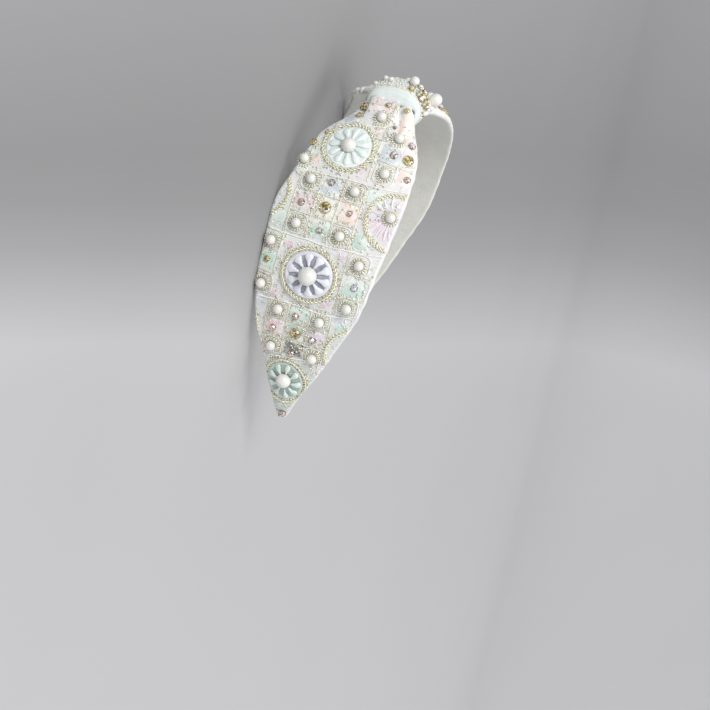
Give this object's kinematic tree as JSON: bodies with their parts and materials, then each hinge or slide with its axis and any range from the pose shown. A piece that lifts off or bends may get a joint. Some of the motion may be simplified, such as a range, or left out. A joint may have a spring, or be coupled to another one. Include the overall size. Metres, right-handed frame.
{
  "type": "knotted beaded headband",
  "caption": "Wide knotted fabric headband with pearl, petal and stone embroidery in square patches, tapering to two tips.",
  "frame": {"origin": "middle of the band's box on the surface it lies on, under the head opening", "axes": "+X to the wearer's right, +Y from the knot to the tips, +Z from the rear edge to the front edge"},
  "size_m": [0.1308, 0.1392, 0.049],
  "materials": {
    "embroidered_fabric": "white cotton with pastel patches, pale thread and gilt couching",
    "knot_fabric": "plain pale mint cotton",
    "pearl": "off-white pearl lustre",
    "petals": "glassy mint, white and grey petals",
    "gilt_cord": "pale gold metal thread, coiled",
    "set_stone": "cut stone in a gilt claw setting"
  },
  "bodies": {
    "root": {"fabric_band": "embroidered_fabric", "knot_wrap": "knot_fabric", "knot_pearl": "pearl", "left_large_pearl": "pearl", "right_top_cord": "gilt_cord", "right_top_petals": "petals", "right_top_pearl": "pearl", "right_middle_cord": "gilt_cord", "right_middle_petals": "petals", "right_middle_pearl": "pearl", "right_low_cord": "gilt_cord", "right_low_petals": "petals", "right_low_pearl": "pearl", "right_upper_stone": "set_stone", "right_upper_high_rear_pearl": "pearl", "right_upper_high_front_pearl": "pearl", "right_upper_low_rear_pearl": "pearl", "right_upper_low_front_pearl": "pearl", "right_lower_stone": "set_stone", "right_lower_high_rear_pearl": "pearl", "right_lower_high_front_pearl": "pearl", "right_lower_low_rear_pearl": "pearl", "right_lower_low_front_pearl": "pearl", "right_gather_rear_pearl": "pearl", "right_gather_front_pearl": "pearl", "right_shoulder_rear_pearl": "pearl", "right_shoulder_front_pearl": "pearl", "right_edge_front_pearl": "pearl", "right_side_rear_high_pearl": "pearl", "right_side_rear_low_pearl": "pearl", "right_side_front_high_pearl": "pearl", "right_side_front_low_pearl": "pearl", "left_top_cord": "gilt_cord", "left_top_petals": "petals", "left_top_pearl": "pearl", "left_middle_cord": "gilt_cord", "left_middle_petals": "petals", "left_middle_pearl": "pearl", "left_low_cord": "gilt_cord", "left_low_petals": "petals", "left_low_pearl": "pearl", "left_upper_stone": "set_stone", "left_upper_high_rear_pearl": "pearl", "left_upper_high_front_pearl": "pearl", "left_upper_low_rear_pearl": "pearl", "left_upper_low_front_pearl": "pearl", "left_lower_stone": "set_stone", "left_lower_high_rear_pearl": "pearl", "left_lower_high_front_pearl": "pearl", "left_lower_low_rear_pearl": "pearl", "left_lower_low_front_pearl": "pearl", "left_gather_rear_pearl": "pearl", "left_gather_front_pearl": "pearl", "left_shoulder_rear_pearl": "pearl", "left_shoulder_front_pearl": "pearl", "left_edge_front_pearl": "pearl", "left_side_rear_high_pearl": "pearl", "left_side_rear_low_pearl": "pearl", "left_side_front_high_pearl": "pearl", "left_side_front_low_pearl": "pearl"}
  },
  "joints": []
}
